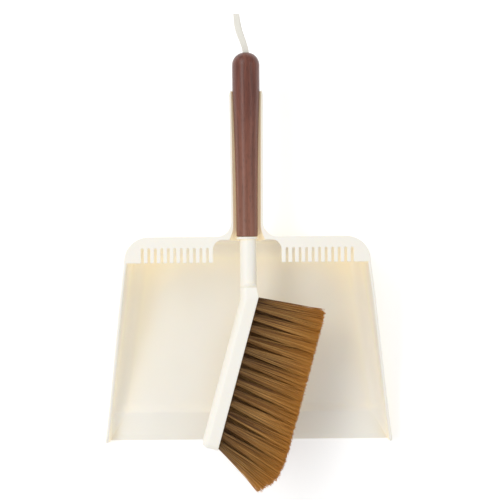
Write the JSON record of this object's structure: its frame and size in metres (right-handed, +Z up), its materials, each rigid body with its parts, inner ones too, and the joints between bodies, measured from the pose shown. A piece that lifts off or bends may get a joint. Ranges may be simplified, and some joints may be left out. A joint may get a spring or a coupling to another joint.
{
  "type": "dust pan and brush set",
  "caption": "Hooded dust pan with a comb along its hood, whose channel-shaped handle holds an angled hand brush with a turned wooden handle and hanging loop.",
  "frame": {"origin": "on the floor, below the middle of the footprint of the pan and the brush, on the pan's plane of symmetry; the hanging loop is left out of that footprint", "axes": "+X across the pan to the side that the bristles point to, +Y from the pan's mouth to its handle, +Z up from the floor"},
  "size_m": [0.239, 0.3867, 0.0681],
  "materials": {
    "cream_plastic": "satin",
    "walnut": "satin",
    "filament": "satin",
    "strap": "matte"
  },
  "bodies": {
    "pan": {"pan_shell": "cream_plastic"},
    "brush": {"wooden_handle": "walnut", "brush_head": "cream_plastic", "hanging_loop": "strap", "tuft_row1_01": "filament", "tuft_row1_02": "filament", "tuft_row1_03": "filament", "tuft_row1_04": "filament", "tuft_row1_05": "filament", "tuft_row1_06": "filament", "tuft_row1_07": "filament", "tuft_row1_08": "filament", "tuft_row1_09": "filament", "tuft_row1_10": "filament", "tuft_row1_11": "filament", "tuft_row1_12": "filament", "tuft_row1_13": "filament", "tuft_row1_14": "filament", "tuft_row2_01": "filament", "tuft_row2_02": "filament", "tuft_row2_03": "filament", "tuft_row2_04": "filament", "tuft_row2_05": "filament", "tuft_row2_06": "filament", "tuft_row2_07": "filament", "tuft_row2_08": "filament", "tuft_row2_09": "filament", "tuft_row2_10": "filament", "tuft_row2_11": "filament", "tuft_row2_12": "filament", "tuft_row2_13": "filament", "tuft_row2_14": "filament", "tuft_row3_01": "filament", "tuft_row3_02": "filament", "tuft_row3_03": "filament", "tuft_row3_04": "filament", "tuft_row3_05": "filament", "tuft_row3_06": "filament", "tuft_row3_07": "filament", "tuft_row3_08": "filament", "tuft_row3_09": "filament", "tuft_row3_10": "filament", "tuft_row3_11": "filament", "tuft_row3_12": "filament", "tuft_row3_13": "filament", "tuft_row3_14": "filament", "tuft_row4_01": "filament", "tuft_row4_02": "filament", "tuft_row4_03": "filament", "tuft_row4_04": "filament", "tuft_row4_05": "filament", "tuft_row4_06": "filament", "tuft_row4_07": "filament", "tuft_row4_08": "filament", "tuft_row4_09": "filament", "tuft_row4_10": "filament", "tuft_row4_11": "filament", "tuft_row4_12": "filament", "tuft_row4_13": "filament", "tuft_row4_14": "filament"}
  },
  "joints": [
    {"name": "brush_lift", "type": "slide", "parent": "pan", "child": "brush", "axis": [0, 0, 1], "range_m": [0, 0.12]}
  ]
}
